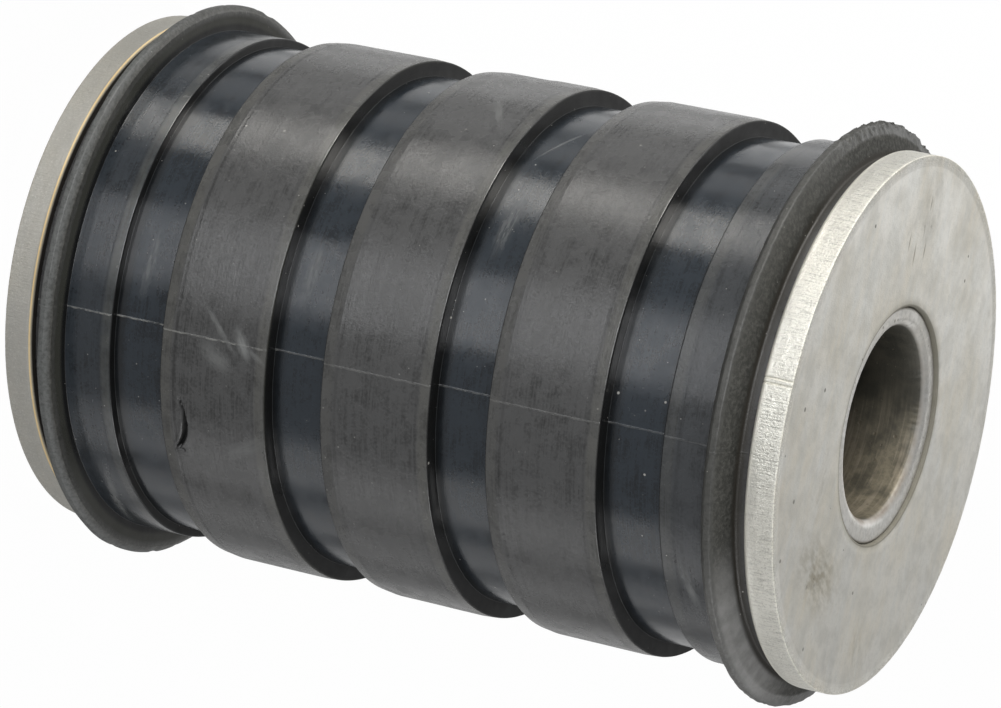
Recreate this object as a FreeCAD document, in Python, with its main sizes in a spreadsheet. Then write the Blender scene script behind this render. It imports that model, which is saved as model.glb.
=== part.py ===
"""Rubber metal bush: a steel tube with a plate washer round each end and a ribbed rubber moulding between.

Millimetres. The axis of the bush is Z. The lower washer's outer face lies on Z = 0.
"""

import FreeCAD, Part

import os

import Sketcher

# Every size that can be chosen by itself, with what it measures.
DIMENSIONS = [
    ("washer_diameter", 68, "outside diameter of each end washer"),
    ("washer_thickness", 4, "plate thickness of each end washer"),
    ("washer_hole_clearance", 0.05, "radial gap between a washer's hole and the tube"),
    ("washer_face_round", 0.3, "round of a washer's rim at its outer face"),
    ("washer_back_round", 0.5, "round that the punch left on a washer's rim, on the rubber's side"),
    ("washer_hole_round", 0.3, "round of the hole's edge at the outer face"),
    ("tube_outer_diameter", 30, "outside diameter of the inner tube"),
    ("tube_wall", 3, "wall of the inner tube, which leaves the bore"),
    ("tube_setback", 0.5, "depth of each tube end below its washer's outer face"),
    ("tube_mouth_round", 0.9, "round of the bore's edge at each end"),
    ("tube_edge_round", 0.3, "round of the tube's outer edge at each end"),
    ("groove_diameter", 64.6, "diameter of the rubber at the floor of its grooves"),
    ("groove_width", 7.9, "length of each groove along the axis"),
    ("groove_foot_round", 0.5, "round between a groove's floor and its walls"),
    ("rib_count", 3, "ribs along the rubber"),
    ("rib_width", 15.2, "length of each rib along the axis"),
    ("rib_height", 2.2, "height of a rib above the groove floor"),
    ("rib_bevel_width", 1.8, "length of the faint bevel at each side of a rib"),
    ("rib_bevel_drop", 0.25, "drop of that bevel at the rib's edge"),
    ("band_length", 11.4, "length of the plain band at each end, from the washer to the first groove"),
    ("band_height", 1.1, "height of the end band above the groove floor"),
    ("band_edge_round", 0.5, "round of the band's edge beside the first groove"),
    ("neck_width", 1.4, "length of the narrow neck between a washer and its lip"),
    ("neck_depth", 0.4, "depth of that neck below the end band"),
    ("lip_height", 3.7, "height of the sealing lip above the end band"),
    ("lip_lean", 1.5, "how far the lip's face leans away from the washer between foot and crest"),
    ("lip_crest_width", 0.8, "length of the lip's crest along the axis"),
    ("lip_bevel", 0.8, "run and drop of the bevel behind the crest"),
    ("lip_back_run", 0.5, "run of the lip's steep back, from the bevel down to the band"),
    ("lip_root_round", 0.8, "round between the lip's back and the band"),
]

# Distances that follow from those sizes. Heights in the rubber count from its middle plane.
TUBE_RADIUS = "Sizes.tube_outer_diameter / 2"
BORE_RADIUS = "(Sizes.tube_outer_diameter / 2 - Sizes.tube_wall)"
HOLE_RADIUS = "(Sizes.tube_outer_diameter / 2 + Sizes.washer_hole_clearance)"
WASHER_RADIUS = "Sizes.washer_diameter / 2"
GROOVE_RADIUS = "Sizes.groove_diameter / 2"
RIB_RADIUS = f"({GROOVE_RADIUS} + Sizes.rib_height)"
BAND_RADIUS = f"({GROOVE_RADIUS} + Sizes.band_height)"
NECK_RADIUS = f"({BAND_RADIUS} - Sizes.neck_depth)"
LIP_RADIUS = f"({BAND_RADIUS} + Sizes.lip_height)"
EMBEDDED_RADIUS = f"({TUBE_RADIUS} + {GROOVE_RADIUS}) / 2"
RIB_PITCH = "(Sizes.rib_width + Sizes.groove_width)"
RIB_SPAN = f"((Sizes.rib_count - 1) * {RIB_PITCH})"
BAND_START = f"({RIB_SPAN} / 2 + Sizes.rib_width / 2 + Sizes.groove_width)"
RUBBER_END = f"({BAND_START} + Sizes.band_length)"
OVERALL_LENGTH = f"(2 * ({RUBBER_END} + Sizes.washer_thickness))"
TUBE_LENGTH = f"({OVERALL_LENGTH} - 2 * Sizes.tube_setback)"

# Two circles closer than this are the same circle.
SAME = 1e-4


def size_sheet(doc):
    """The sheet that holds the chosen sizes, one named cell each."""
    sheet = doc.addObject("Spreadsheet::Sheet", "Sizes")
    for row, (name, number, meaning) in enumerate(DIMENSIONS, start=1):
        sheet.set(f"A{row}", name)
        sheet.set(f"B{row}", str(number))
        sheet.set(f"C{row}", meaning)
        sheet.setAlias(f"B{row}", name)
    doc.recompute()
    return sheet


def value(body, expression):
    """The number that an expression of the sizes has now."""
    return float(body.evalExpression(expression))


def new_body(doc, label):
    body = doc.addObject("PartDesign::Body", label)
    body.Label = label
    return body


def origin_feature(body, role):
    """One of the body's own planes or axes."""
    return next(part for part in body.Origin.OriginFeatures if part.Role == role)


def new_sketch(body, name, plane):
    sketch = body.newObject("Sketcher::SketchObject", name)
    sketch.AttachmentSupport = [(origin_feature(body, plane), "")]
    sketch.MapMode = "FlatFace"
    return sketch


def bound_constraint(sketch, name, expression, constraint):
    """Adds a dimension to the sketch and ties it to an expression of the sizes."""
    index = sketch.addConstraint(constraint)
    sketch.renameConstraint(index, name)
    sketch.setExpression(f"Constraints.{name}", expression)


def ring_pad(body, name, outer_radius, inner_radius, length):
    """A flat ring or a plain tube: two circles about the axis, raised along it."""
    sketch = new_sketch(body, f"{name}_outline", "XY_Plane")
    upward = FreeCAD.Vector(0, 0, 1)
    for index, (word, radius) in enumerate((("outer", outer_radius), ("inner", inner_radius))):
        number = value(body, radius)
        sketch.addGeometry(Part.Circle(FreeCAD.Vector(0, 0, 0), upward, number), False)
        sketch.addConstraint(Sketcher.Constraint("Coincident", index, 3, -1, 1))
        bound_constraint(sketch, word, radius, Sketcher.Constraint("Radius", index, number))
    pad = body.newObject("PartDesign::Pad", name)
    pad.Profile = sketch
    pad.setExpression("Length", length)
    body.Document.recompute()
    return pad


def turned_ring(body, name, corners):
    """A closed outline beside the axis, turned once round it. Each corner is a radius and a height."""
    sketch = new_sketch(body, f"{name}_outline", "XZ_Plane")
    points = [FreeCAD.Vector(value(body, radius), value(body, height), 0) for radius, height in corners]
    count = len(points)
    for index in range(count):
        sketch.addGeometry(Part.LineSegment(points[index], points[(index + 1) % count]), False)
    for index in range(count):
        sketch.addConstraint(Sketcher.Constraint("Coincident", index, 2, (index + 1) % count, 1))
    for index, (radius, height) in enumerate(corners):
        across = Sketcher.Constraint("DistanceX", -1, 1, index, 1, points[index].x)
        bound_constraint(sketch, f"radius_{index}", radius, across)
        if height == "0":
            sketch.addConstraint(Sketcher.Constraint("PointOnObject", index, 1, -1))
        else:
            along = Sketcher.Constraint("DistanceY", -1, 1, index, 1, points[index].y)
            bound_constraint(sketch, f"height_{index}", height, along)
    ring = body.newObject("PartDesign::Revolution", name)
    ring.Profile = sketch
    ring.ReferenceAxis = (sketch, ["V_Axis"])
    ring.Angle = 360
    body.Document.recompute()
    return ring


def round_edges(body, name, radius, circles):
    """Rounds the body's circular edges that lie at the given radii and heights."""
    base = body.Tip
    places = [(value(body, across), value(body, along)) for across, along in circles]
    edges = []
    for number, edge in enumerate(base.Shape.Edges, start=1):
        curve = edge.Curve
        if not isinstance(curve, Part.Circle):
            continue
        for across, along in places:
            if abs(curve.Radius - across) < SAME and abs(curve.Center.z - along) < SAME:
                edges.append(f"Edge{number}")
    fillet = body.newObject("PartDesign::Fillet", name)
    fillet.Base = (base, edges)
    fillet.setExpression("Radius", radius)
    body.Document.recompute()
    return fillet


def end_washer(doc, label):
    """A blanked plate washer. Its outer face lies on Z = 0 and its back, towards the rubber, above it."""
    body = new_body(doc, label)
    ring_pad(body, f"{label}_plate", WASHER_RADIUS, HOLE_RADIUS, "Sizes.washer_thickness")
    round_edges(body, f"{label}_face_edge", "Sizes.washer_face_round", [(WASHER_RADIUS, "0")])
    back_edge = (WASHER_RADIUS, "Sizes.washer_thickness")
    round_edges(body, f"{label}_back_edge", "Sizes.washer_back_round", [back_edge])
    round_edges(body, f"{label}_hole_edge", "Sizes.washer_hole_round", [(HOLE_RADIUS, "0")])
    return body


def inner_tube(doc):
    """The steel tube that the bolt passes through. Both ends stop just short of the washers' faces."""
    body = new_body(doc, "inner_tube")
    ring_pad(body, "tube_wall_ring", TUBE_RADIUS, BORE_RADIUS, TUBE_LENGTH)
    mouths = [(BORE_RADIUS, "0"), (BORE_RADIUS, TUBE_LENGTH)]
    round_edges(body, "tube_mouths", "Sizes.tube_mouth_round", mouths)
    ends = [(TUBE_RADIUS, "0"), (TUBE_RADIUS, TUBE_LENGTH)]
    round_edges(body, "tube_edges", "Sizes.tube_edge_round", ends)
    body.setExpression("Placement.Base.z", "Sizes.tube_setback")
    return body


def below_end(distance):
    """Height in the rubber that lies the given distance below its upper end."""
    return f"{RUBBER_END} - ({distance})"


def end_collar_corners():
    """Section of one end of the moulding: the neck beside the washer, the sealing lip, then the band."""
    crest_near = "Sizes.neck_width + Sizes.lip_lean"
    crest_far = f"{crest_near} + Sizes.lip_crest_width"
    bevel_end = f"{crest_far} + Sizes.lip_bevel"
    back_foot = f"{bevel_end} + Sizes.lip_back_run"
    return [
        (EMBEDDED_RADIUS, RUBBER_END),
        (NECK_RADIUS, RUBBER_END),
        (NECK_RADIUS, below_end("Sizes.neck_width")),
        (LIP_RADIUS, below_end(crest_near)),
        (LIP_RADIUS, below_end(crest_far)),
        (f"{LIP_RADIUS} - Sizes.lip_bevel", below_end(bevel_end)),
        (BAND_RADIUS, below_end(back_foot)),
        (BAND_RADIUS, BAND_START),
        (EMBEDDED_RADIUS, BAND_START),
    ]


def rib_corners():
    """Section of the uppermost rib: flat on top, with a faint bevel towards each groove."""
    bottom = f"{RIB_SPAN} / 2 - Sizes.rib_width / 2"
    top = f"{RIB_SPAN} / 2 + Sizes.rib_width / 2"
    edge_radius = f"{RIB_RADIUS} - Sizes.rib_bevel_drop"
    return [
        (EMBEDDED_RADIUS, bottom),
        (edge_radius, bottom),
        (RIB_RADIUS, f"{bottom} + Sizes.rib_bevel_width"),
        (RIB_RADIUS, f"{top} - Sizes.rib_bevel_width"),
        (edge_radius, top),
        (EMBEDDED_RADIUS, top),
    ]


def rubber_body(doc):
    """The moulding, bonded to the tube and to both washers, in one piece with its ribs and lips."""
    body = new_body(doc, "rubber_body")
    half_barrel = turned_ring(
        body,
        "half_barrel",
        [(TUBE_RADIUS, "0"), (GROOVE_RADIUS, "0"), (GROOVE_RADIUS, RUBBER_END), (TUBE_RADIUS, RUBBER_END)],
    )
    end_collar = turned_ring(body, "end_collar", end_collar_corners())

    both_ends = body.newObject("PartDesign::Mirrored", "both_ends")
    both_ends.Originals = [half_barrel, end_collar]
    both_ends.MirrorPlane = (origin_feature(body, "XY_Plane"), [""])
    body.Tip = both_ends
    doc.recompute()

    top_rib = turned_ring(body, "top_rib", rib_corners())
    ribs = body.newObject("PartDesign::LinearPattern", "ribs")
    ribs.Originals = [top_rib]
    ribs.Direction = (origin_feature(body, "Z_Axis"), [""])
    ribs.Reversed = True
    ribs.setExpression("Length", RIB_SPAN)
    ribs.setExpression("Occurrences", "Sizes.rib_count")
    body.Tip = ribs
    doc.recompute()

    back_foot = (
        "Sizes.neck_width + Sizes.lip_lean + Sizes.lip_crest_width + Sizes.lip_bevel + Sizes.lip_back_run"
    )
    lip_roots = [(BAND_RADIUS, below_end(back_foot)), (BAND_RADIUS, f"-({below_end(back_foot)})")]
    round_edges(body, "lip_roots", "Sizes.lip_root_round", lip_roots)
    band_edges = [(BAND_RADIUS, BAND_START), (BAND_RADIUS, f"-{BAND_START}")]
    round_edges(body, "band_edges", "Sizes.band_edge_round", band_edges)
    round_edges(body, "groove_feet", "Sizes.groove_foot_round", groove_feet(body))
    body.setExpression("Placement.Base.z", f"{OVERALL_LENGTH} / 2")
    return body


def groove_feet(body):
    """The circles where the grooves' floors meet the walls of the ribs and of the end bands."""
    feet = [(GROOVE_RADIUS, BAND_START), (GROOVE_RADIUS, f"-{BAND_START}")]
    for number in range(round(value(body, "Sizes.rib_count"))):
        middle = f"({RIB_SPAN} / 2 - {number} * {RIB_PITCH})"
        feet.append((GROOVE_RADIUS, f"{middle} - Sizes.rib_width / 2"))
        feet.append((GROOVE_RADIUS, f"{middle} + Sizes.rib_width / 2"))
    return feet


def check_document(doc, bodies):
    """Stops if any object failed or any sub-part is empty or invalid."""
    doc.recompute()
    for item in doc.Objects:
        if "Invalid" in item.State or "Error" in item.State:
            raise RuntimeError(f"{item.Name} failed: {item.State}")
    for body in bodies:
        if body.Shape.isNull() or not body.Shape.isValid() or len(body.Shape.Solids) != 1:
            raise RuntimeError(f"{body.Label} isn't one valid solid")


def main():
    doc = FreeCAD.newDocument("rubber_metal_bush")
    size_sheet(doc)
    tube = inner_tube(doc)
    lower_washer = end_washer(doc, "lower_end_washer")
    upper_washer = end_washer(doc, "upper_end_washer")
    turned_over = FreeCAD.Rotation(FreeCAD.Vector(1, 0, 0), 180)
    upper_washer.Placement = FreeCAD.Placement(FreeCAD.Vector(0, 0, 0), turned_over)
    upper_washer.setExpression("Placement.Base.z", OVERALL_LENGTH)
    rubber = rubber_body(doc)
    bodies = [tube, lower_washer, upper_washer, rubber]
    check_document(doc, bodies)
    os.makedirs("parts", exist_ok=True)
    for body in bodies:
        body.Shape.exportStep(f"parts/{body.Label}.step")
        box = body.Shape.BoundBox
        print(
            f"{body.Label}: volume {body.Shape.Volume:.1f} mm3,"
            f" Z {box.ZMin:.2f} to {box.ZMax:.2f}, diameter {box.XLength:.2f}"
        )


main()
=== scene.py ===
# %% [markdown]
# # A rubber and metal bush, stood on its end
# A bush of this kind lets two parts of a machine move a little against each other. A steel tube takes the
# bolt, a round steel plate closes each end, and ribbed rubber is moulded round the tube between the plates.
# This lesson loads the plain solids of the part and dresses each one: the rubber first, then the two plates
# and the tube. Last come the floor, the lamps and the camera.

# %% Load the packed solids
import math

import bpy
import numpy as np
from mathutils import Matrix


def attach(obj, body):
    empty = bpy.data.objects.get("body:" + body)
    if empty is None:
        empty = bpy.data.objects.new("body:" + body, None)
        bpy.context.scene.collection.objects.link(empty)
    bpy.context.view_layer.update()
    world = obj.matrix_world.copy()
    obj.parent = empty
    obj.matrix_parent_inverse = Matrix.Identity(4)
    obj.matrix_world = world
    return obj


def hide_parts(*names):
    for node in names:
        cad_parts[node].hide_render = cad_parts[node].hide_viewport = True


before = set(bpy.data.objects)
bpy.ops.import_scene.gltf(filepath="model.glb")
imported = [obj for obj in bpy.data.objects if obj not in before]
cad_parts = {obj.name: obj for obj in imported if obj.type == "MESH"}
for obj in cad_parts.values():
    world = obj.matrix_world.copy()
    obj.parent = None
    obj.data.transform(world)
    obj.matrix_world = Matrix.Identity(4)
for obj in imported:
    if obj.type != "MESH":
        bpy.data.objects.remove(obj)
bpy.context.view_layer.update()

MM = 0.001

# %% [markdown]
# ## Where things are on a round part
# Everything here is turned about one upright axis, so a place is an angle, a radius and a height. Angle 0 is
# the side that faces the camera, and angles grow towards -X. All shapes are written in millimetres and only
# become metres when a mesh is made, which keeps the numbers close to what a ruler on the real part reads.

# %% Soft random waves round the part


def wavy(angle, height, lobes, seed, drift=0.0):
    """A random wave of about unit size that closes on itself after a full turn."""
    draw = np.random.RandomState(seed)
    total = np.zeros(np.broadcast(angle, height).shape)
    for lobe in lobes:
        size, start, slope = draw.normal(), draw.uniform(0, 2 * math.pi), draw.normal(0, 1)
        total = total + size * np.sin(lobe * np.radians(angle) + start + drift * slope * height)
    return total / math.sqrt(len(lobes))


def turn_gap(angle, other):
    """Degrees from one angle to another the short way round, with a sign."""
    return (angle - other + 180.0) % 360.0 - 180.0


def window(value, low, high, soft):
    """1 between low and high, falling softly to 0 over the width soft on both sides."""
    rise = np.clip((value - low) / soft + 1.0, 0, 1)
    fall = np.clip((high - value) / soft + 1.0, 0, 1)
    step = np.minimum(rise, fall)
    return step * step * (3 - 2 * step)


def hill(away, width, power=2):
    """1 in the middle of a rounded hill or hollow, falling off over the width on both sides."""
    return np.exp(-((away / width) ** power))


print("a wave at four angles:", wavy(np.array([0, 90, 180, 270.0]), 0.0, range(2, 6), 1).round(2))

# %% [markdown]
# ## A section to turn
# A lathe piece starts as a section: corners with a radius, a height and a rounding. Real corners are never
# sharp, and the light that runs along a rounded corner says most about its size. So each corner becomes a
# small arc, and the straight stretches between are divided finely enough to carry dents and waves. The
# arcs of outside corners also leave a note of 1 on their points, and the plates' finish is duller there.

# %% Rounded corners and divided spans
ARC_STEPS = 4


def rounded_outline(corners):
    """Points and corner notes of a closed section of (radius, height, rounding), listed anticlockwise."""
    points, notes = [], []
    for i, (r, z, rounding) in enumerate(corners):
        here = np.array([r, z])
        before = np.array(corners[i - 1][:2]) - here
        after = np.array(corners[(i + 1) % len(corners)][:2]) - here
        before /= np.linalg.norm(before)
        after /= np.linalg.norm(after)
        between = math.acos(max(-1.0, min(1.0, float(before @ after))))
        if rounding <= 0 or between > math.radians(178):
            points.append(here)
            notes.append(0.0)
            continue
        back = rounding / math.tan(between / 2)
        outer = 1.0 if -before[0] * after[1] + before[1] * after[0] > 0 else 0.0
        middle = here + (before + after) / np.linalg.norm(before + after) * rounding / math.sin(between / 2)
        first, last = here + before * back, here + after * back
        steps = max(2, round(ARC_STEPS * (math.pi - between) / (math.pi / 2)))
        for k in range(steps + 1):
            share = first + (last - first) * k / steps - middle
            points.append(middle + share / np.linalg.norm(share) * rounding)
            notes.append(outer)
    return np.array(points), np.array(notes)


def divided(points, notes, step_at):
    """The same closed section with more points where step_at(radius, height) asks for shorter steps."""
    out_points, out_notes = [], []
    for i in range(len(points)):
        a, b = points[i], points[(i + 1) % len(points)]
        length = np.linalg.norm(b - a)
        line = np.linspace(0, 1, 200)[:, None]
        walk = a + (b - a) * line
        need = np.concatenate([[0], np.cumsum(length / 199 / step_at(walk[:-1, 0], walk[:-1, 1]))])
        count = max(1, math.ceil(need[-1] - 0.2))
        for share in np.interp(np.arange(count) / count * need[-1], need, line[:, 0]):
            out_points.append(a + (b - a) * share)
            out_notes.append(notes[i] if share == 0 else 0.0)
    return np.array(out_points), np.array(out_notes)


def spaced_angles(step_at):
    """Angles for a full turn, closer together where step_at(angle) asks for it."""
    fine = np.linspace(-180, 180, 7201)
    need = np.concatenate([[0], np.cumsum(0.05 / step_at(fine[:-1]))])
    count = math.ceil(need[-1])
    return np.interp(np.arange(count) / count * need[-1], need, fine)


# %% [markdown]
# ## Turning the section
# The section is copied to every angle and joined up with four-sided faces into one closed skin. A shaping
# function may move each point a little in radius and height first: this is where the moulding seam, the torn
# lip and the rough rim come from. A weighted-normal modifier keeps flats looking flat beside small arcs.

# %% Make a turned piece


def in_scene(name, data):
    """A new object in the scene, from a mesh, a lamp or a camera."""
    thing = bpy.data.objects.new(name, data)
    bpy.context.scene.collection.objects.link(thing)
    return thing


def turned_piece(name, section, angles, shaping, masks):
    """A closed mesh: section is (points, corner notes); masks are named values for the finish, each worked
    out from angle, radius, height and lean, which is 1 where the skin faces up and -1 where it faces down."""
    points, notes = section
    columns, rings = len(angles), len(points)
    angle = np.repeat(np.asarray(angles)[:, None], rings, 1)
    r0 = np.repeat(points[None, :, 0], columns, 0)
    z0 = np.repeat(points[None, :, 1], columns, 0)
    r, z = shaping(angle, r0, z0)
    turn = np.radians(angle)
    where = np.stack([-r * np.sin(turn), -r * np.cos(turn), z], -1).reshape(-1, 3) * MM
    here = np.arange(columns * rings).reshape(columns, rings)
    beside = np.roll(here, -1, 0)
    quads = np.stack([here, np.roll(here, -1, 1), np.roll(beside, -1, 1), beside], -1).reshape(-1, 4)
    mesh = bpy.data.meshes.new(name)
    mesh.from_pydata(where.tolist(), [], quads.tolist())
    mesh.polygons.foreach_set("use_smooth", np.ones(len(quads), bool))
    along = np.roll(points, -1, 0) - np.roll(points, 1, 0)
    lean = np.repeat((-along[:, 0] / np.linalg.norm(along, axis=1))[None, :], columns, 0)
    values = {"outer_corner": notes + 0 * r0}
    values.update({mask: rule(angle, r0, z0, lean) for mask, rule in masks.items()})
    for mask, value in values.items():
        layer = mesh.attributes.new(mask, "FLOAT", "POINT")
        layer.data.foreach_set("value", np.ascontiguousarray(value, dtype=np.float32).ravel())
    mesh.update()
    piece = in_scene(name, mesh)
    piece.modifiers.new("flat_stays_flat", "WEIGHTED_NORMAL").weight = 50
    print(name, "columns", columns, "rings", rings, "triangles", 2 * len(quads))
    return piece


# %% [markdown]
# ## The rubber moulding: its section
# The rubber is one moulding: a thin neck against each plate, a sealing lip that leans away from it, a flat
# band, then three wide ribs with four grooves between them. Each rib starts with a long bevel, only a quarter
# of a millimetre deep, and ends with a broad rounding. The end's lip and band are written out once, and the
# upper end is their mirror image, as the mould is the same at both ends.

# %% The rubber's corners
LENGTH = 108.0
PLATE = 4.0
BORE_SIDE = 15.0
NECK, BAND, FLOOR, RIB, LIP, LIP_BEVEL = 33.0, 33.4, 32.3, 34.5, 37.1, 36.3
NECK_WIDTH, LIP_START, LIP_END, LIP_BACK, LIP_FOOT = 1.4, 6.9, 7.7, 8.4, 8.7
BAND_END, GROOVE, RIB_WIDTH, BEVEL, BEVEL_DROP, END_DROP = 15.4, 7.9, 15.2, 1.8, 0.25, 0.14
RIB_STARTS = [BAND_END + GROOVE + n * (RIB_WIDTH + GROOVE) for n in range(3)]

lower_lip = [(BORE_SIDE, PLATE, 0), (NECK, PLATE, 0.15), (NECK, PLATE + NECK_WIDTH, 0.4),
             (LIP, LIP_START, 0.3), (LIP, LIP_END, 0.25), (LIP_BEVEL, LIP_BACK, 0.2),
             (BAND, LIP_FOOT, 0.08), (BAND, BAND_END, 0.25), (FLOOR, BAND_END, 0.05)]
ribs = []
for start in RIB_STARTS:
    stop = start + RIB_WIDTH
    ribs += [(FLOOR, start, 0.05), (RIB - BEVEL_DROP, start, 0.25), (RIB, start + BEVEL, 0.9),
             (RIB, stop - BEVEL, 2.5), (RIB - END_DROP, stop, 0.25), (FLOOR, stop, 0.05)]
upper_lip = [(r, LENGTH - z, rounding) for r, z, rounding in reversed(lower_lip)]
rubber_corners = lower_lip + ribs + upper_lip


def from_end(z):
    """How far a height is from the nearer end, as both ends follow one rule."""
    return np.minimum(z, LENGTH - z)


print("rubber corners:", len(rubber_corners), "rib starts in mm:", RIB_STARTS)

# %% [markdown]
# ## Marks of making and of use on the rubber
# The mould opened in two halves, and where they met a thin raised line runs the length of the bush, with a
# very small step across it. The lip at the upper end was trimmed badly and has a ragged edge over a quarter
# of its turn. One rib has a curved gash, and a band has two little nicks. All of them are real shape here, so
# they also show in a plain mesh.

# %% Shape of the seam, the gash and the torn lip
SEAM_ANGLES = (-11.6, 168.4)
GASH = [(-26.0, 26.3), (-28.6, 26.75), (-31.6, 26.95), (-34.0, 26.75), (-36.0, 26.25), (-37.9, 25.5),
        (-38.3, 26.4)]
NICKS = [(-13.6, 98.3, 0.55, 0.45), (-11.9, 97.3, 0.3, 0.3), (-15.2, 96.4, 0.25, 0.2)]
DEGREE = math.pi * RIB / 180
SEAM_LINE, SEAM_STEP, GASH_DEPTH, GASH_BURR, TRIM_SAG = 0.05, 0.018, 0.95, 0.07, 0.45


def near_path(angle, height, path):
    """Distance in mm over the rib's surface to a crooked line, and how far along it that is, from 0 to 1."""
    best, along = np.full(angle.shape, 99.0), np.zeros(angle.shape)
    for n in range(len(path) - 1):
        (a0, h0), (a1, h1) = path[n], path[n + 1]
        ax, ah = (a1 - a0) * DEGREE, h1 - h0
        px, ph = turn_gap(angle, a0) * DEGREE, height - h0
        share = np.clip((px * ax + ph * ah) / (ax * ax + ah * ah), 0, 1)
        distance = np.hypot(px - ax * share, ph - ah * share)
        closer = distance < best
        best = np.where(closer, distance, best)
        along = np.where(closer, (n + share) / (len(path) - 1), along)
    return best, along


def shape_rubber(angle, r, z):
    """Moves the turned skin to its moulded, trimmed and damaged shape."""
    outside = r > BORE_SIDE + 1
    skin = np.where(outside & (z > PLATE + 0.5) & (z < LENGTH - PLATE - 0.5), 1.0, 0.0)
    sag = 0.035 * wavy(angle, z, range(2, 8), 11, 0.03) + 0.007 * wavy(angle, z, range(9, 22), 12, 0.12)
    dr = skin * sag
    for seam in SEAM_ANGLES:
        gap = turn_gap(angle, seam)
        step = SEAM_STEP * np.tanh(gap / 0.12) * hill(gap, 9)
        dr += skin * (SEAM_LINE * hill(gap, 0.16) + step)
    distance, along = near_path(angle, z, GASH)
    half_width = 0.12 + 0.2 * np.clip(np.sin(math.pi * np.clip(along * 1.15 - 0.05, 0, 1)), 0, 1)
    on_rib = skin * (r > RIB - 0.6)
    dr -= on_rib * GASH_DEPTH * hill(distance, half_width, 4)
    dr += on_rib * GASH_BURR * hill(distance - half_width - 0.25, 0.25)
    for nick_angle, nick_height, size, depth in NICKS:
        reach = np.hypot(turn_gap(angle, nick_angle) * DEGREE, z - nick_height)
        dr -= skin * (r > BAND - 0.4) * depth * hill(reach, size, 4)
    lip_share = np.clip((r - BAND - 0.3) / (LIP - BAND - 0.3), 0, 1)
    upper = z > LENGTH / 2
    torn = 0.07 + window(angle, 64, 106, 5) * 0.3 + window(angle, -104, -78, 10) * 0.1
    tear = np.abs(wavy(angle, z, range(40, 170), 21, 4.0))
    tear = tear + 0.5 * np.abs(wavy(angle, z, range(18, 50), 22, 1.0))
    lumps = wavy(angle, z, range(30, 190), 23, 9.0)
    dr -= upper * lip_share**2.5 * torn * np.clip(tear, 0, 2.0)
    dz = upper * lip_share**2 * torn * 0.35 * lumps
    chipped = np.clip(wavy(angle, z, range(12, 90), 25, 2.0) - 0.5, 0, 1.5)
    dr -= (~upper) * lip_share * (0.05 + 0.05 * wavy(angle, z, range(3, 30), 24) + 0.12 * chipped)
    slack = (~upper) * lip_share * window(angle, 62, 125, 28)
    dr -= TRIM_SAG * slack
    dz = dz + 0.3 * slack
    return np.minimum(r + dr, np.where(r > LIP - 2, LIP, r + 0.2)), z + dz


# %% [markdown]
# ## Turning the rubber
# Points lie close together only where a detail needs them: along the gash, at the seam and round the torn
# part of the lip. Elsewhere a point every millimetre is enough, because the skin is smooth there.

# %% Make the rubber


def rubber_step(r, z):
    step = np.where(r < NECK - 0.5, 9.0, 1.15)
    step = np.where((z > 25.0) & (z < 27.6) & (r > RIB - 0.3), 0.17, step)
    return np.where((z > 99.2) & (z < 103) & (r > BAND), 0.42, step)


def rubber_turn_step(angle):
    step = np.full(angle.shape, 1.22)
    step = np.where(window(angle, -39.5, -24.5, 0.5) > 0.1, 0.3, step)
    step = np.where((angle > 58) & (angle < 110), 0.55, step)
    for seam in SEAM_ANGLES:
        step = np.where(np.abs(turn_gap(angle, seam)) < 0.5, 0.1, step)
    return step


def moulded_gloss(angle, r, z, lean):
    between_lips = (z > LIP_FOOT - 0.1) & (z < LENGTH - LIP_FOOT + 0.1) & (r > BORE_SIDE + 1)
    band = np.where(z < LENGTH / 2, 0.85, 0.5) * (r < BAND + 0.3)
    return between_lips * np.where(r < FLOOR + 0.2, 1.0, band)


def in_the_gash(angle, r, z, lean):
    distance, along = near_path(angle, z, GASH)
    half_width = 0.1 + 0.19 * np.sin(math.pi * np.clip(along * 1.1 - 0.05, 0, 1))
    return np.clip((half_width + 0.08 - distance) / 0.1, 0, 1) * (r > RIB - 0.6)


def on_wall(angle, r, z, lean):
    return np.clip((np.abs(lean) - 0.3) / 0.35, 0, 1) * (from_end(z) > PLATE + 0.5) * (r < RIB + 1)


def on_lip(angle, r, z, lean):
    low = from_end(z)
    return ((low < LIP_BACK + 0.05) & (low > PLATE + 0.2) & (r > BORE_SIDE + 1)) * 1.0


rubber_section = divided(*rounded_outline(rubber_corners), rubber_step)
rubber = turned_piece("moulded_rubber", rubber_section, spaced_angles(rubber_turn_step), shape_rubber,
                      {"groove": moulded_gloss, "wall": on_wall, "lip": on_lip, "gash": in_the_gash})

# %% [markdown]
# ## The end plates: blanked discs
# A press punched these plates out of strip. The punch first shears the edge clean and bright, then the rest
# tears off, so the rim is smooth on one side and rough on the other, with fine scores in line with the axis.
# The rough part is nearer the outer face here. On the upper plate a double crack crosses the rim.

# %% Shape of a plate's rim, face and hole
PLATE_RADIUS, HOLE_RADIUS = 34.0, 15.05
plate_corners = [(HOLE_RADIUS, 0, 0.2), (PLATE_RADIUS, 0, 0.14), (PLATE_RADIUS, PLATE, 0.5),
                 (HOLE_RADIUS, PLATE, 0.3)]
CRACKS = [(4.55, 0.14), (3.45, 0.17)]
CRACK_DEPTH, SHEARED_EDGE = 0.16, 2.25


def plate_step(r, z):
    return np.where(r > PLATE_RADIUS - 0.35, 0.24, np.where(z < PLATE - 0.2, 1.3, 6.0))


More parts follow.
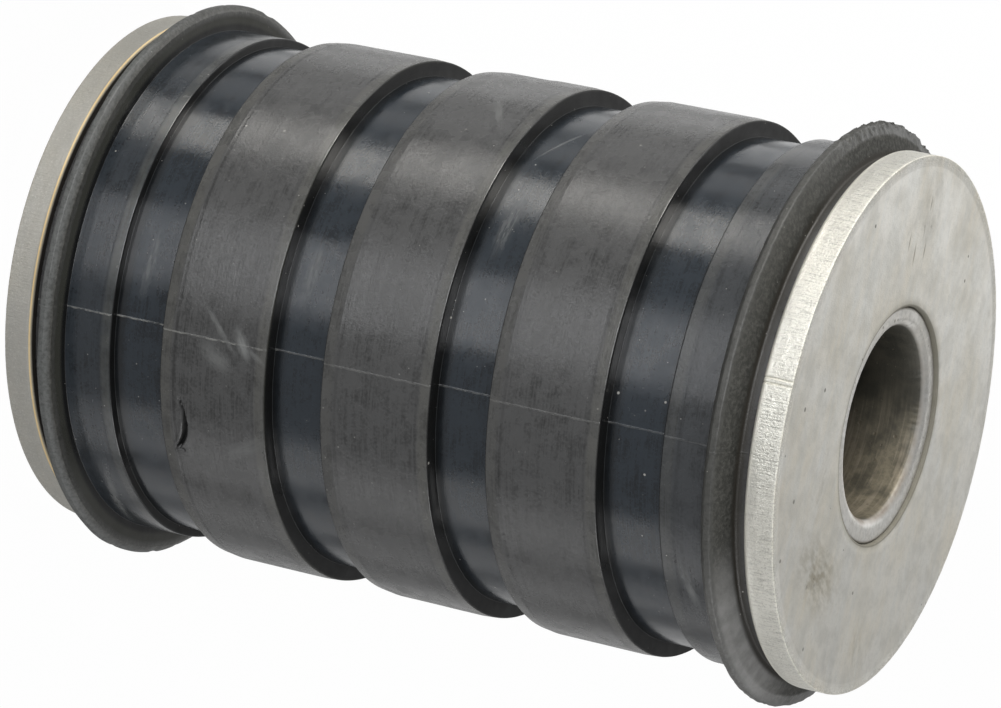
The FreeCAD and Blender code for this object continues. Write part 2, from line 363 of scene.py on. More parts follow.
def shape_plate(seed, cracks, depth_of):
    """A shaping function for one plate; depth_of turns a height into mm below the outer face."""
    def shape(angle, r, z):
        depth = depth_of(z)
        rim = np.clip((r - PLATE_RADIUS + 0.7) / 0.5, 0, 1)
        edge = SHEARED_EDGE + 0.22 * wavy(angle, 0 * z, range(5, 60), seed)
        rough = rim * np.clip((edge - depth) / 0.2, 0, 1)
        scores = np.abs(wavy(angle, z, range(150, 310), seed + 1, 0.15))
        chips = np.abs(wavy(angle, z, range(90, 260), seed + 2, 1.6))
        grazes = np.abs(wavy(angle, z, range(60, 280), seed + 3))
        dr = -rough * (0.012 + 0.006 * scores + 0.006 * chips) - 0.002 * rim * grazes
        for crack_angle, half in cracks:
            gap = turn_gap(angle, crack_angle + 0.12 * wavy(0 * angle, z, range(1, 4), seed + 4, 1.4))
            dr -= rim * CRACK_DEPTH * hill(gap, half)
        face = np.clip(1 - depth / 0.1, 0, 1)
        dz = face * 0.012 * (wavy(angle, r, range(1, 7), seed + 5, 0.2) - 1.6)
        dz -= rim * face * 0.02 * np.abs(wavy(angle, 0 * z, range(30, 160), seed + 6))
        return r + dr, (z + dz if depth_of(0) > PLATE / 2 else z - dz)
    return shape


def plate_turn_step(angle):
    return np.where((angle > 2.4) & (angle < 5.6), 0.1, 0.56)


def rim_rough(depth_of):
    return lambda angle, r, z, lean: (r > PLATE_RADIUS - 0.6) * np.clip((4.2 - depth_of(z)) / 2.0, 0, 1)


def rim_all(angle, r, z, lean):
    return (r > PLATE_RADIUS - 0.6) * np.clip((0.92 - np.abs(lean)) / 0.4, 0, 1)


def face_mask(depth_of):
    return lambda angle, r, z, lean: (depth_of(z) < 0.2) * 1.0


def make_plate(name, lift, outer_up, seed, cracks):
    """One end plate: lift is its lower side's height; outer_up says that its outer face is the upper one."""
    corners = [(r, (PLATE - z if outer_up else z) + lift, rounding) for r, z, rounding in plate_corners]
    corners = corners[::-1] if outer_up else corners
    depth_of = (lambda z: lift + PLATE - z) if outer_up else (lambda z: z - lift)
    section = divided(*rounded_outline(corners), lambda r, z: plate_step(r, depth_of(z)))
    return turned_piece(name, section, spaced_angles(plate_turn_step), shape_plate(seed, cracks, depth_of),
                        {"rough_rim": rim_rough(depth_of), "rim": rim_all, "face": face_mask(depth_of)})


lower_plate = make_plate("lower_blanked_plate", 0.0, False, 31, [])
upper_plate = make_plate("upper_blanked_plate", LENGTH - PLATE, True, 41, CRACKS)

# %% [markdown]
# ## The tube
# The tube was cut to length and its mouth was knocked back a little when the plates were pressed on, so the
# bore's edge is rounded more on one side than on the other. It ends half a millimetre below the plate's face,
# and the thin ring of dirt in that step is what separates the two steels to the eye.

# %% Make the tube
TUBE_OUTER, TUBE_BORE, SETBACK, MOUTH = 15.0, 12.0, 0.5, 0.9
tube_corners = [(TUBE_BORE, SETBACK, MOUTH), (TUBE_OUTER, SETBACK, 0.3), (TUBE_OUTER, LENGTH - SETBACK, 0.3),
                (TUBE_BORE, LENGTH - SETBACK, MOUTH)]
WORN_SIDE = 92.0


def tube_step(r, z):
    end = from_end(z)
    return np.where(r > TUBE_OUTER - 0.01, 12.0, np.where(end < 1.0, 0.35, np.where(end < 8, 0.8, 2.4)))


def shape_tube(angle, r, z):
    end = from_end(z) - SETBACK
    inner = np.clip((TUBE_OUTER - 1.0 - r) / 1.2, 0, 1)
    worn = 0.5 + 0.5 * np.cos(np.radians(turn_gap(angle, WORN_SIDE)))
    near_mouth = hill(end, 1.6)
    burr = window(angle, 120, 180, 8) + window(angle, -180, -130, 8)
    dr = inner * near_mouth * (0.62 * worn - 0.1) + inner * 0.012 * wavy(angle, z, range(3, 40), 51, 0.8)
    dr += inner * hill(end - 0.8, 0.35) * burr * 0.03 * wavy(angle, 0 * z, range(30, 110), 53)
    slope = 0.18 * np.clip((TUBE_BORE + 1.1 - r) / 1.0, 0, 1) ** 1.5 * hill(end, 3.0)
    face = (end < 0.02) * (r > TUBE_BORE + 0.8) * (r < TUBE_OUTER - 0.2)
    dz = 0.01 * face * wavy(angle, r, range(2, 30), 52, 0.8)
    return r + dr, z + dz - slope * np.sign(z - LENGTH / 2)


def in_bore(angle, r, z, lean):
    return np.clip((TUBE_BORE + 0.3 - r) / 0.2, 0, 1)


tube = turned_piece("bolt_tube", divided(*rounded_outline(tube_corners), tube_step),
                    spaced_angles(lambda angle: np.full(angle.shape, 0.8)), shape_tube, {"bore": in_bore})

# %% [markdown]
# ## A bench for finishes
# Every finish below is a tree of shader nodes. A small helper places nodes and joins sockets, so that a
# finish reads as a list of what is done to the surface. Colours are written as the surface's own colour in
# linear light, which is why the rubber's numbers look so small.

# %% The node bench


class Bench:
    """Short ways to place and join the nodes of one finish or group."""

    def __init__(self, tree):
        self.tree = tree

    def put(self, kind, *values, **settings):
        """A new node of a kind, with the values fed to its first sockets."""
        node = self.tree.nodes.new("ShaderNode" + kind)
        for field, setting in settings.items():
            setattr(node, field, setting)
        for value, socket in zip(values, node.inputs):
            self.feed(value, socket)
        return node

    def feed(self, value, socket):
        """Joins a socket to a socket, or writes a plain number or colour into it."""
        if isinstance(value, bpy.types.NodeSocket):
            self.tree.links.new(value, socket)
        elif socket.type == "RGBA" and len(value) == 3:
            socket.default_value = (*value, 1.0)
        else:
            socket.default_value = value

    def wire(self, node, **values):
        """Feeds a node's sockets by name, with _ for a space, and gives its outputs."""
        for name, value in values.items():
            self.feed(value, node.inputs[name.replace("_", " ")])
        return node.outputs

    def maths(self, operation, first, second=0.0, third=0.0, clamp=False):
        """One step of arithmetic on up to three values."""
        return self.put("Math", first, second, third, operation=operation, use_clamp=clamp).outputs[0]

    def plus(self, first, second, clamp=False):
        return self.maths("ADD", first, second, clamp=clamp)

    def less(self, first, second):
        return self.maths("SUBTRACT", first, second)

    def times(self, first, *others):
        """A product, which for masks is high only where all of them are high."""
        for other in others:
            first = self.maths("MULTIPLY", first, other)
        return first

    def most(self, first, *others):
        """The highest of several masks."""
        for other in others:
            first = self.maths("MAXIMUM", first, other)
        return first

    def rest(self, value):
        """The other side of a mask."""
        return self.maths("SUBTRACT", 1.0, value)

    def line(self, value, middle, half):
        """1 in the middle of a thin line, falling softly to 0 at half its width."""
        away = self.maths("ABSOLUTE", self.maths("SUBTRACT", value, middle))
        return self.spread(away, half * 0.3, half, 1.0, 0.0)

    def joined(self, x, y, z=0.0):
        """One vector from three values."""
        return self.put("CombineXYZ", x, y, z).outputs[0]

    def scaled(self, vector, factors):
        """A vector with each of its three parts multiplied by its own factor."""
        return self.put("VectorMath", vector, factors, operation="MULTIPLY").outputs[0]

    def spread(self, value, low, high, to_low=0.0, to_high=1.0):
        """Carries low..high to to_low..to_high, with soft ends."""
        return self.put("MapRange", value, low, high, to_low, to_high,
                        interpolation_type="SMOOTHSTEP").outputs[0]

    def over(self, colour, paint, *shares):
        """A colour with paint laid over it, as far as the product of the shares says."""
        node = self.put("Mix", self.times(*shares), data_type="RGBA")
        self.feed(colour, node.inputs[6])
        self.feed(paint, node.inputs[7])
        return node.outputs[2]

    def noise(self, place, scale, detail, roughness, flat=False):
        """A cloudy value from about 0.25 to 0.75."""
        node = self.put("TexNoise", noise_dimensions="2D" if flat else "3D")
        return self.wire(node, Vector=place, Scale=scale, Detail=detail, Roughness=roughness)[0]

    def relief(self, height, depth):
        """A normal that is bent as by a relief some mm deep."""
        return self.wire(self.put("Bump"), Strength=0.5, Distance=depth * MM, Height=height)[0]

    def mask(self, name):
        """A mask that was stored on the mesh when the piece was turned."""
        return self.put("Attribute", attribute_name=name).outputs["Fac"]

    def group(self, tree, **values):
        """A shared effect, with this finish's own numbers."""
        return self.wire(self.put("Group", node_tree=tree), **values)

    def shader(self, kind, **values):
        """A shader with its sockets fed by name."""
        return self.wire(self.put(kind), **values)[0]

    def surface(self, shader):
        """Makes a shader the material's surface."""
        self.put("OutputMaterial", shader)
        print("nodes in this finish:", len(self.tree.nodes))


def new_group(name, inputs, outputs):
    """A shader node group with named inputs, each with its usual value, and named outputs."""
    tree = bpy.data.node_groups.new(name, "ShaderNodeTree")
    kinds = {"Position": "NodeSocketVector", "Colour": "NodeSocketColor"}
    for title, usual in inputs.items():
        kind = kinds.get(title, "NodeSocketFloat")
        socket = tree.interface.new_socket(title, in_out="INPUT", socket_type=kind)
        if usual is not None:
            socket.default_value = usual
    for title in outputs:
        kind = kinds.get(title, "NodeSocketFloat")
        tree.interface.new_socket(title, in_out="OUTPUT", socket_type=kind)
    print("group:", name, "from", list(inputs), "to", outputs)
    return tree, Bench(tree), tree.nodes.new("NodeGroupInput").outputs, tree.nodes.new("NodeGroupOutput")


def new_finish(name):
    """An empty material, and the bench for its nodes."""
    material = bpy.data.materials.new(name)
    material.use_nodes = True
    material.node_tree.nodes.clear()
    return material, Bench(material.node_tree)


print("bench tools:", [tool for tool in vars(Bench) if not tool.startswith("_")])

# %% [markdown]
# ## Shared effects
# Six effects serve more than one finish, so each is a node group that is made once: the place on the bush, a
# rubbed mark, lines round the axis, small specks, a fine grain and clouded steel. Each puts out values or
# colours only, and each finish gives it its own numbers.

# %% Place on the bush
place_group, b, given, result = new_group("place_on_bush", {}, ["Position", "Angle", "Radius", "Height"])
spot = b.scaled(b.put("TexCoord").outputs["Object"], (1 / MM, 1 / MM, 1 / MM))
parts = b.put("SeparateXYZ", spot).outputs
minus_x = b.times(parts["X"], -1.0)
minus_y = b.times(parts["Y"], -1.0)
radius = b.maths("SQRT", b.plus(b.times(minus_x, minus_x), b.times(minus_y, minus_y)))
b.wire(result, Position=spot, Angle=b.maths("DEGREES", b.maths("ARCTAN2", minus_x, minus_y)),
       Radius=radius, Height=parts["Z"])

# %% A rubbed mark at an angle and a height
mark_group, b, given, result = new_group(
    "rubbed_mark", {"Across": 0.0, "Along": 0.0, "Tilt": 0.0, "Length": 4.0, "Width": 1.0, "Breakup": 0.5,
                    "Fibre": 2.5}, ["Mask"])
tilt = b.maths("RADIANS", given["Tilt"])
cosine, sine = b.maths("COSINE", tilt), b.maths("SINE", tilt)
long_way = b.plus(b.times(given["Across"], cosine), b.times(given["Along"], sine))
short_way = b.less(b.times(given["Along"], cosine), b.times(given["Across"], sine))
strands = b.joined(b.maths("MULTIPLY_ADD", long_way, 0.45, given["Tilt"]), b.times(short_way, given["Fibre"]))
strands = b.spread(b.noise(strands, 1.0, 2.0, 0.6, flat=True), 0.3, 0.7)
long_way = b.maths("DIVIDE", long_way, given["Length"])
short_way = b.maths("DIVIDE", short_way, given["Width"])
reach = b.maths("SQRT", b.plus(b.times(long_way, long_way), b.times(short_way, short_way)))
body = b.spread(reach, 0.0, 1.0, 1.0, 0.0)
b.wire(result, Mask=b.times(body, b.rest(b.times(given["Breakup"], b.rest(strands)))))

# %% Lines round the axis
hoop_group, b, given, result = new_group(
    "hoop_lines", {"Position": None, "Fineness": 3.0, "Run": 0.08}, ["Lines"])
stretch = b.joined(given["Run"], given["Run"], given["Fineness"])
b.wire(result, Lines=b.noise(b.scaled(given["Position"], stretch), 1.0, 3.0, 0.6))

# %% Small specks
speck_group, b, given, result = new_group(
    "small_specks", {"Position": None, "Spacing": 2.0, "Size": 0.15, "Share": 0.3}, ["Mask"])
cells = b.wire(b.put("TexVoronoi", voronoi_dimensions="3D", feature="F1"), Vector=given["Position"],
               Scale=b.maths("DIVIDE", 1.0, given["Spacing"]))
lot = b.put("SeparateColor", cells["Color"]).outputs
kept = b.maths("LESS_THAN", lot[0], given["Share"])
size = b.times(given["Size"], b.plus(b.times(lot[1], lot[1]), 0.25))
away = b.times(cells["Distance"], given["Spacing"])
b.wire(result, Mask=b.times(kept, b.spread(b.maths("DIVIDE", away, size), 0.6, 1.3, 1.0, 0.0)))


def specks(bench, place, spacing, size, share):
    """A finish's own specks: mm from one to the next, mm across, and how many of the places have one."""
    return bench.group(speck_group, Position=place, Spacing=spacing, Size=size, Share=share)["Mask"]


# %% Fine grain
grain_group, b, given, result = new_group(
    "fine_grain", {"Position": None, "Grain": 4.0, "Mottle Grain": 0.25}, ["Height", "Mottle"])
b.wire(result, Height=b.noise(given["Position"], given["Grain"], 2.0, 0.6),
       Mottle=b.noise(given["Position"], given["Mottle Grain"], 2.5, 0.55))

# %% Clouded steel
STEEL, WARM_STEEL, COOL_STEEL = (0.72, 0.705, 0.655), (0.65, 0.61, 0.52), (0.62, 0.635, 0.62)
SHADED_STEEL = (0.47, 0.46, 0.415)
steel_group, b, given, result = new_group(
    "clouded_steel", {"Position": None, "Grain": 4.5}, ["Colour", "Cloud", "Fine", "Patch", "Ripple"])
clouds = b.group(grain_group, Position=given["Position"], Grain=given["Grain"], Mottle_Grain=0.11)
patches = b.group(grain_group, Position=given["Position"], Grain=1.7, Mottle_Grain=0.33)
streaks = b.noise(b.scaled(given["Position"], (0.12, 0.7, 0.7)), 1.0, 3.0, 0.6)
colour = b.over(STEEL, WARM_STEEL, b.spread(clouds["Mottle"], 0.35, 0.68, 0.0, 0.7))
colour = b.over(colour, COOL_STEEL, b.spread(streaks, 0.36, 0.7, 0.0, 0.4))
colour = b.over(colour, SHADED_STEEL, b.spread(patches["Mottle"], 0.38, 0.72, 0.0, 0.4))
colour = b.over(colour, SHADED_STEEL, b.spread(patches["Height"], 0.4, 0.75, 0.0, 0.28))
b.wire(result, Colour=colour, Cloud=clouds["Mottle"], Fine=clouds["Height"],
       Patch=patches["Mottle"], Ripple=patches["Height"])

# %% [markdown]
# ## The rubber's finish
# Moulded rubber is a dark, slightly waxy skin. On the ribs it has gone dull and grey with handling, and in
# the grooves it keeps the mould's gloss and looks blue-black. Fine lines run round it, the seam has a pale
# edge, and there are scuffs and dust. Each of those is a mask that shifts the colour and the roughness.
# Some of these colours are painted light: the walls, the groove floor beside them, the gash and the neck
# under the lower lip are painted darker as shade; the lip crests and a streak on the lower band are painted
# highlights, and the lighter rib edges are partly wear and partly painted highlight.

# %% Marks on the rubber
# Each row: name, angle, height, radius, tilt, half length round the bush, half width, breakup, strength
RUBBER_MARKS = [
    ("bruise_streak", -9.2, 31.6, RIB, -42.0, 5.0, 0.6, 0.4, 0.6),
    ("bruise_heart", -11.4, 35.0, RIB, -30.0, 3.0, 1.2, 0.35, 0.95),
    ("bruise_fork", -13.4, 37.0, RIB, -55.0, 2.2, 0.55, 0.5, 0.55),
    ("bruise_cloud", -15.2, 31.4, RIB, -58.0, 3.8, 1.9, 0.4, 0.5),
    ("grey_patch", -34.5, 35.5, RIB, 60.0, 4.6, 1.6, 0.6, 0.4),
    ("groove_bloom_1", 1.0, 19.0, FLOOR, 4.0, 5.6, 0.9, 0.8, 0.5),
    ("groove_bloom_2", 6.0, 41.6, FLOOR, 4.0, 5.6, 1.2, 0.8, 0.45),
    ("groove_rub_3", 25.5, 64.9, FLOOR, 3.0, 5.2, 1.5, 0.8, 0.5),
    ("groove_scratch_3", 53.0, 65.4, FLOOR, 24.0, 5.6, 0.3, 0.4, 0.6),
    ("rib_scratch_2", 55.0, 56.0, RIB, -30.0, 6.2, 0.9, 0.7, 0.5),
    # The low band streak is a painted highlight: a pale reflection painted on the lower band.
    ("band_streak_low", -64.0, 11.2, BAND, 9.0, 11.0, 1.0, 0.5, 0.75),
    ("near_band_rub", -46.0, 96.0, BAND, -12.0, 5.4, 1.0, 0.6, 0.7),
    ("far_side_rub_1", 150.0, 54.0, RIB, 15.0, 7.0, 1.6, 0.7, 0.5),
    ("far_side_rub_2", -130.0, 78.0, RIB, -20.0, 6.0, 1.4, 0.7, 0.5),
]


def mask_of_marks(bench, rows, away, **numbers):
    """The strongest of the listed marks; away gives how far a point is from a mark's middle, two ways."""
    found = []
    for name, *middle, tilt, length, width, breakup, strength in rows:
        across, along = away(*middle)
        mark = bench.group(mark_group, Across=across, Along=along, Tilt=tilt, Length=length, Width=width,
                           Breakup=breakup, **numbers)["Mask"]
        mark.node.label = name
        found.append(bench.times(mark, strength))
    return bench.most(*found)


# %% The rubber material: colour
RIB_COLOUR, GROOVE_COLOUR = (0.0145, 0.0145, 0.0143), (0.0035, 0.0048, 0.0066)
DUSTY_RIB, DUSTY_GROOVE = (0.0610, 0.0614, 0.0612), (0.017, 0.0230, 0.0300)
PAINTED_WALL_SHADE, LIP_WALL_COLOUR = (0.004, 0.004, 0.0038), (0.030, 0.0305, 0.025)
PAINTED_NECK_SHADOW, NECK_COLOUR = (0.003, 0.0026, 0.002), (0.025, 0.0225, 0.018)
LIP_COLOUR, LOWER_CREST_HIGHLIGHT, UPPER_CREST_HIGHLIGHT = (0.025, 0.0252, 0.0220), (0.105, 0.110, 0.108), (0.062, 0.062, 0.057)
BLOOM_AND_HIGHLIGHT, SEAM_COLOUR, DUST_COLOUR = (0.21, 0.215, 0.21), (0.26, 0.26, 0.24), (0.42, 0.41, 0.38)
WORN_EDGE_AND_HIGHLIGHT, CREASE_COLOUR = (0.100, 0.098, 0.084), (0.005, 0.005, 0.0048)
PAINTED_GASH_SHADE, CRUMB_COLOUR, LIP_BLOOM = (0.002, 0.0022, 0.002), (0.085, 0.084, 0.076), (0.29, 0.288, 0.28)
PITCH = RIB_WIDTH + GROOVE
PAST_RIB_1 = (36.0, 45.0)
RUBBER_IOR, RUBBER_ROUGHNESS, GRAIN_DEPTH = 1.55, 0.215, 0.08

rubber_finish, b = new_finish("moulded_rubber_finish")
place = b.group(place_group)
here, tall = place["Position"], place["Height"]
groove, wall, lip = b.mask("groove"), b.mask("wall"), b.mask("lip")
grain = b.group(grain_group, Position=here, Grain=2.8, Mottle_Grain=0.17)
bloom = b.group(grain_group, Position=here, Grain=1.1, Mottle_Grain=0.5)
hoops = b.group(hoop_group, Position=here, Fineness=1.8, Run=0.07)["Lines"]
fine_hoops = b.group(hoop_group, Position=here, Fineness=5.5, Run=0.12)["Lines"]

colour = b.over(RIB_COLOUR, GROOVE_COLOUR, groove)
dusty = b.over(DUSTY_RIB, DUSTY_GROOVE, groove)
haze = b.spread(grain["Mottle"], 0.34, 0.66, 0.22, 0.5)
haze = b.plus(haze, b.spread(bloom["Mottle"], 0.36, 0.68, 0.0, 0.45))
haze = b.plus(haze, b.spread(grain["Height"], 0.4, 0.72, 0.0, 0.5))
haze = b.plus(haze, b.spread(hoops, 0.38, 0.72, 0.0, 0.3))
haze = b.plus(haze, b.spread(fine_hoops, 0.42, 0.68, 0.0, 0.5), clamp=True)
colour = b.over(colour, dusty, haze)
colour = b.over(colour, CREASE_COLOUR, b.spread(grain["Height"], 0.28, 0.42, 0.25, 0.0))

# %% The rubber material: edges, creases and seam
on_rib = b.maths("MODULO", b.less(tall, RIB_STARTS[0] - PITCH), PITCH)
stout = b.rest(b.most(wall, lip))
patchy = b.spread(bloom["Mottle"], 0.3, 0.7, 0.45, 1.0)
top_of_rib = b.spread(on_rib, RIB_WIDTH + 0.02, RIB_WIDTH + 0.08, 1.0, 0.0)
EDGE_START = RIB_WIDTH - 1.7
right_edge = b.times(b.spread(on_rib, EDGE_START, EDGE_START + 0.6), top_of_rib)
left_edge = b.spread(on_rib, BEVEL - 0.5, BEVEL + 0.1, 1.0, 0.0)
left_edge = b.times(left_edge, b.spread(tall, *PAST_RIB_1, 1.0, 0.55))
# The lighter strips along the ribs' edges are partly wear and partly a painted highlight on the rounded
# edges.
edge = b.times(b.most(right_edge, left_edge), patchy, stout)
colour = b.over(colour, WORN_EDGE_AND_HIGHLIGHT, edge, 0.38)
crease = b.times(b.line(on_rib, BEVEL + 0.35, 0.3), b.spread(tall, *PAST_RIB_1, 0.95, 0.4))
crease = b.most(crease, b.times(b.line(on_rib, EDGE_START, 0.28), 0.35))
crease = b.times(crease, stout, b.spread(bloom["Height"], 0.3, 0.55, 0.35, 1.0))
colour = b.over(colour, CREASE_COLOUR, crease, 0.6)

# Painted shade: the groove floor beside each rib's wall, and just before the next rib, is painted near-black
# as the wall's shade and dark mirror image.
shade = b.most(b.spread(on_rib, RIB_WIDTH, RIB_WIDTH + 2.2, 1.0, 0.0), b.spread(on_rib, PITCH - 0.8, PITCH))
shade = b.times(shade, b.rest(top_of_rib))
colour = b.over(colour, PAINTED_WALL_SHADE, shade, 0.85)

seams = []
for seam_angle in SEAM_ANGLES:
    gap = b.times(b.less(place["Angle"], seam_angle), DEGREE)
    gap = b.plus(gap, b.maths("MULTIPLY_ADD", bloom["Height"], 0.36, -0.18))
    seams.append(b.line(gap, 0.0, 0.15))
seam_share = b.times(b.spread(tall, 32.0, 42.0, 0.62, 0.2), b.spread(tall, 84.0, 92.0, 1.0, 0.35))
seam = b.times(b.most(*seams), seam_share, b.spread(bloom["Height"], 0.36, 0.6, 0.15, 1.0))
colour = b.over(colour, SEAM_COLOUR, seam, b.rest(b.times(wall, 0.8)))

# %% The rubber material: scuffs, lips and dust


def away_round_the_bush(angle, height, radius):
    across = b.times(b.less(place["Angle"], angle), math.pi * radius / 180)
    return across, b.less(place["Height"], height)


marks_and_highlight = mask_of_marks(b, RUBBER_MARKS, away_round_the_bush)
# The marks are scuffs and bruises, and the one on the lower band is a painted highlight.
colour = b.over(colour, BLOOM_AND_HIGHLIGHT, marks_and_highlight, stout, 0.85)

lower_end = b.maths("LESS_THAN", tall, LENGTH / 2)
lip_wall = b.times(b.spread(place["Radius"], BAND + 0.5, BAND + 1.2), lower_end)
# Painted shade: the walls of the ribs and lips are painted near-black as shade; the lower lip's back keeps a
# rubber colour.
colour = b.over(colour, b.over(PAINTED_WALL_SHADE, LIP_WALL_COLOUR, lip_wall), wall, 0.95)
crumbs = b.noise(here, 1.9, 3.0, 0.75)
rough_lip = b.over(LIP_COLOUR, CRUMB_COLOUR, b.spread(crumbs, 0.38, 0.7, 0.0, 0.7))
bloomed = b.times(b.spread(place["Angle"], -96.0, -70.0), b.spread(place["Angle"], -48.0, -28.0, 1.0, 0.0))
bloomed = b.times(bloomed, b.rest(lower_end), b.spread(bloom["Mottle"], 0.3, 0.7, 0.65, 1.0))
rough_lip = b.over(rough_lip, LIP_BLOOM, bloomed, 0.75)
# Painted highlight: the lips' crests are painted lighter as a highlight along them, the lower crest more.
crest_highlight = b.times(b.spread(place["Radius"], LIP - 0.9, LIP - 0.2), b.spread(crumbs, 0.3, 0.6, 0.4, 1.0))
rough_lip = b.over(rough_lip, b.over(UPPER_CREST_HIGHLIGHT, LOWER_CREST_HIGHLIGHT, lower_end), crest_highlight, 0.8)
# Painted shadow: at the lower end the neck under the overhanging lip is painted black; the upper neck keeps a
# rubber colour.
in_neck = b.spread(place["Radius"], NECK + 0.3, NECK + 1.0, 1.0, 0.0)
rough_lip = b.over(rough_lip, b.over(NECK_COLOUR, PAINTED_NECK_SHADOW, lower_end), in_neck)
colour = b.over(colour, rough_lip, lip)
dust = specks(b, here, 2.3, 0.14, 0.3)
fine_dust = specks(b, here, 1.0, 0.09, 0.35)
dust = b.most(dust, b.times(fine_dust, 0.45))
colour = b.over(colour, DUST_COLOUR, dust, 0.75)
# Painted shade: the inside of the gash is painted black as shade.
in_gash = b.mask("gash")
colour = b.over(colour, PAINTED_GASH_SHADE, in_gash)

# %% The rubber material: sheen and fine relief
roughness = b.less(RUBBER_ROUGHNESS, b.times(groove, 0.06))
roughness = b.plus(roughness, b.spread(grain["Mottle"], 0.3, 0.7, -0.03, 0.05))
roughness = b.plus(roughness, b.spread(bloom["Mottle"], 0.35, 0.7, 0.0, 0.08))
dull_side = b.spread(b.maths("ABSOLUTE", place["Angle"]), 40.0, 70.0, -0.05, 0.55)
roughness = b.plus(roughness, b.times(wall, dull_side))
roughness = b.plus(roughness, b.times(lip, 0.22))
roughness = b.plus(roughness, b.times(b.most(marks_and_highlight, dust, in_gash), 0.3), clamp=True)

height = b.times(grain["Height"], b.maths("MULTIPLY_ADD", groove, -0.3, 0.5))
height = b.plus(height, b.times(fine_hoops, b.maths("MULTIPLY_ADD", groove, -0.25, 0.45)))
height = b.less(height, b.times(crease, 0.4))
height = b.plus(height, b.times(crumbs, lip, 1.3))
normal = b.relief(height, GRAIN_DEPTH)

b.surface(b.shader("BsdfPrincipled", Base_Color=colour, Roughness=roughness, IOR=RUBBER_IOR, Normal=normal))

# %% [markdown]
# ## The steel of the plates
# The plates are bare steel with a dull, clouded face. Warm and cool patches come from handling and from the
# strip's rolling, and there are pits, a stain beside the hole and a few short scratches. The torn side of the
# rim sparkles, because each little facet of its relief catches the light in its own direction, and lit and
# shaded facets are also painted into its colour. The upper rim is painted near white as a highlight and the
# lower rim darker, and a thin black ring on the inner face beside the rim is painted shade under the lip.

# %% The plate material: its face
STAIN, PIT = (0.17, 0.145, 0.09), (0.085, 0.08, 0.065)
HOLE_DIRT, HOLE_CORNER = (0.22, 0.205, 0.155), (0.15, 0.14, 0.108)
# Each row: name, x, y, tilt, half length, half width, breakup, strength
FACE_MARKS = [
    ("stain_by_hole", 19.4, -13.6, 70.0, 12.0, 6.4, 0.65, 0.95),
    ("stain_streak", 10.0, -18.0, 4.0, 9.0, 2.0, 0.8, 0.4),
    ("stain_lower", 28.0, 4.5, 20.0, 5.4, 3.2, 0.9, 0.5),
    ("warm_cloud", -26.4, -1.0, 10.0, 7.0, 4.6, 0.7, 0.35),
    ("scratch_1", -22.5, -6.3, 4.0, 1.7, 0.28, 0.2, 0.9),
    ("scratch_2", -21.3, -3.9, 6.0, 2.0, 0.30, 0.2, 1.0),
    ("scratch_3", -22.2, -0.8, 3.0, 1.8, 0.28, 0.2, 1.0),
    ("scratch_4", -24.6, -2.2, 8.0, 1.6, 0.24, 0.2, 0.8),
    ("small_mark", -28.0, -1.7, 5.0, 1.5, 0.30, 0.2, 1.0),
]

plate_finish, b = new_finish("blanked_steel_finish")
place = b.group(place_group)
here = place["Position"]
bare = b.group(steel_group, Position=here, Grain=4.5)
colour = bare["Colour"]
face, rough_rim, rim = b.mask("face"), b.mask("rough_rim"), b.mask("rim")
parts = b.put("SeparateXYZ", here).outputs
upper = b.maths("GREATER_THAN", parts["Z"], LENGTH / 2)
rough_rim = b.times(rough_rim, b.maths("MULTIPLY_ADD", upper, 0.6, 0.4))
stains = mask_of_marks(b, FACE_MARKS, lambda x, y: (b.less(parts["X"], x), b.less(parts["Y"], y)), Fibre=0.9)
stains = b.times(stains, face, upper)
colour = b.over(colour, STAIN, stains, 0.8)
pits = specks(b, here, 2.6, 0.25, 0.35)
stain_dots = specks(b, here, 1.15, 0.24, 0.45)
pits = b.most(pits, b.times(stain_dots, b.times(stains, 1.2)))
pits = b.times(pits, b.rest(b.times(rim, 0.75)))
colour = b.over(colour, PIT, pits, 0.75)
hole_dirt = b.spread(place["Radius"], HOLE_RADIUS + 0.1, HOLE_RADIUS + 1.1, 1.0, 0.0)
hole_dirt = b.times(hole_dirt, b.spread(bare["Patch"], 0.3, 0.6, 0.35, 1.0))
colour = b.over(colour, HOLE_DIRT, hole_dirt, 0.55)
hole_corner = b.spread(place["Radius"], HOLE_RADIUS + 0.15, HOLE_RADIUS + 0.4, 1.0, 0.0)
colour = b.over(colour, HOLE_CORNER, hole_corner, 0.9)

# %% The plate material: its rim
PAINTED_LIT_RIM, PAINTED_SHADED_RIM, LOWER_RIM_DARKER_TONE = (0.97, 0.955, 0.87), (0.52, 0.51, 0.475), (0.36, 0.352, 0.325)
SCORED, PAINTED_FACET_SHADE, PAINTED_FACET_GLINT = (0.40, 0.39, 0.35), (0.42, 0.41, 0.375), (0.95, 0.94, 0.89)
GOLDEN_OIL, PAINTED_SHADE_UNDER_LIP = (0.92, 0.75, 0.44), (0.012, 0.009, 0.006)
scores = b.noise(b.scaled(here, (4.6, 4.6, 0.34)), 1.0, 3.0, 0.7)
facets = b.noise(here, 3.4, 3.0, 0.75)
depth = b.maths("MINIMUM", b.less(LENGTH, parts["Z"]), parts["Z"])
# Painted light: the upper rim is painted near white as a highlight and the lower rim darker, lit and shaded
# copies of one steel.
colour = b.over(colour, PAINTED_LIT_RIM, rim, b.times(upper, 0.85))
colour = b.over(colour, PAINTED_SHADED_RIM, rim, b.times(b.rest(upper), 0.7))
colour = b.over(colour, SCORED, rough_rim, b.spread(scores, 0.48, 0.68, 0.0, 0.5))
# Painted glints and shade: lit and shaded facets on the torn rim are laid in the colour, over their relief.
colour = b.over(colour, PAINTED_FACET_SHADE, rough_rim, b.spread(facets, 0.35, 0.5, 0.45, 0.0))
colour = b.over(colour, PAINTED_FACET_GLINT, rough_rim, b.spread(facets, 0.52, 0.7, 0.0, 0.6))
